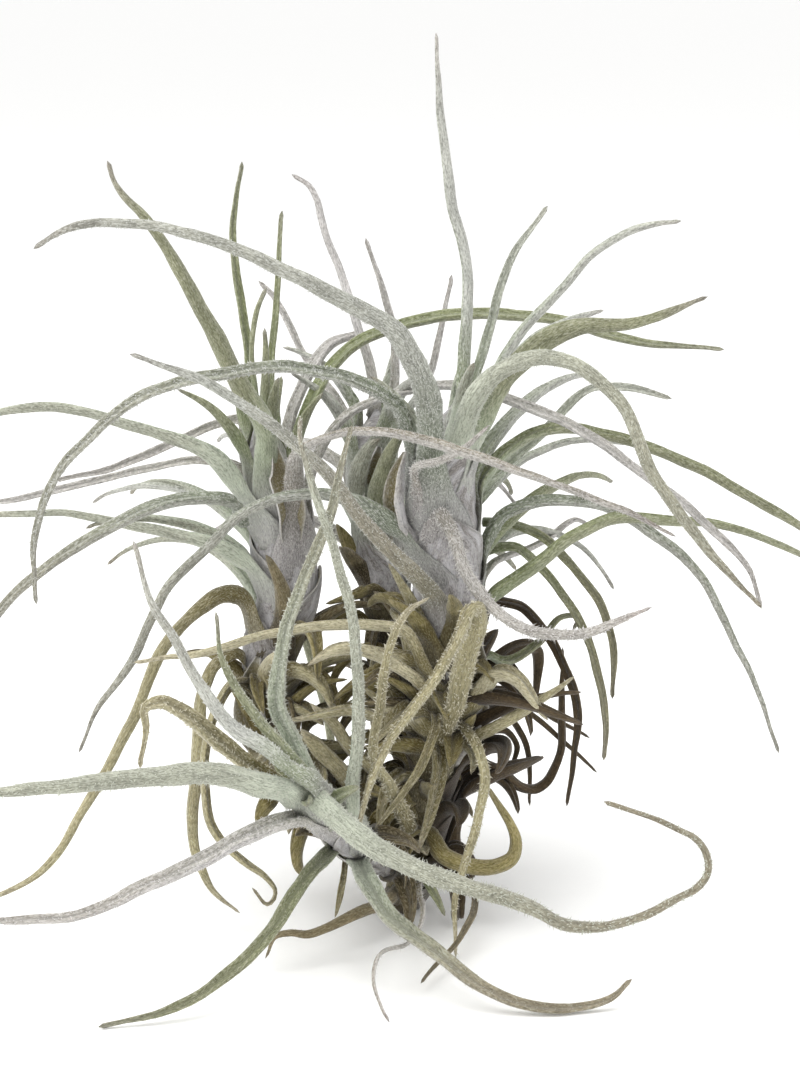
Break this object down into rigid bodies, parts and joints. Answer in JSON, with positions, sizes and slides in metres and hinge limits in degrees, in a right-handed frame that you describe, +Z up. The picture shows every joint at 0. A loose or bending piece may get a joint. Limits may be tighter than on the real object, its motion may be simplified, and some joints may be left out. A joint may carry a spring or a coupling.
{
  "type": "air plant",
  "caption": "Clump of silvery air plant shoots with narrow, channelled, arching leaves, mature and old, resting on the trimmed end of its stem and on its lowest leaves.",
  "frame": {"origin": "centre of the old stem's trimmed end, on the surface the plant rests on", "axes": "+X to the right and -Y to the front of the plant, +Z up"},
  "size_m": [0.1845, 0.1374, 0.1778],
  "materials": {
    "stem_sheath": "dry overlapping leaf sheaths with a felt of silver scales",
    "silver": "leaf with a felt of silver scales",
    "mint": "pale green-white leaf with a dense felt of silver scales",
    "lavender": "grey-violet leaf with fine silver scales",
    "rough_grey": "dark grey-green leaf with coarse silver scales",
    "olive": "olive leaf, thinly scaled",
    "green": "fresh green leaf, thinly scaled",
    "khaki": "old yellowing leaf, thinly scaled",
    "pale_khaki": "old pale leaf, matt",
    "brown": "old brown leaf, matt",
    "dark_brown": "dead dark leaf, matt",
    "white_fuzz": "leaf with a long white fringe of scales"
  },
  "bodies": {
    "root": {"right_stem": "stem_sheath", "left_stem": "stem_sheath", "back_stem": "stem_sheath", "front_stem": "stem_sheath", "right_tall_leaf": "silver", "right_thin_leaf": "silver", "right_high_arch": "silver", "right_broad_arch": "olive", "right_mint_drooper": "mint", "right_dark_arch": "olive", "right_hooked_back_leaf": "silver", "right_fuzzy_front_leaf": "white_fuzz", "right_brown_arch": "brown", "right_green_arch": "green", "right_falling_leaf_a": "olive", "right_falling_leaf_b": "olive", "right_falling_dark_leaf": "dark_brown", "high_crossing_leaf": "rough_grey", "middle_crossing_leaf": "rough_grey", "front_crossing_leaf": "rough_grey", "left_olive_leaf": "olive", "left_upright_leaf_a": "green", "left_upright_leaf_b": "green", "left_long_back_leaf": "green", "left_lavender_arch": "lavender", "left_white_arch": "white_fuzz", "left_mint_leaf": "mint", "left_thin_leaf_a": "lavender", "left_thin_leaf_b": "lavender", "left_bold_leaf": "rough_grey", "left_pale_leaf": "mint", "left_down_leaf": "rough_grey", "left_low_leaf": "khaki", "back_upright_leaf_a": "lavender", "back_upright_leaf_b": "lavender", "back_curled_leaf": "lavender", "front_right_leaf": "mint", "front_under_leaf": "mint", "front_low_left_leaf": "olive", "front_grey_leaf": "lavender", "front_silver_leaf": "mint", "front_high_left_leaf": "silver", "front_high_thin_leaf": "silver", "front_upright_leaf_a": "mint", "front_upright_leaf_b": "white_fuzz", "front_bent_brown_leaf": "brown", "old_curled_leaf": "khaki", "old_folded_leaf": "khaki", "old_hanging_leaf": "khaki", "old_looped_leaf": "khaki", "old_bridging_leaf": "khaki", "old_left_hanging_leaf_a": "khaki", "old_left_hanging_leaf_b": "khaki", "old_low_left_leaf": "brown", "old_pale_broad_leaf": "pale_khaki", "dark_hooked_leaf": "dark_brown", "behind_right_arch": "silver", "behind_right_prop": "olive", "behind_left_prop": "olive", "behind_back_arch": "silver"}
  },
  "joints": []
}
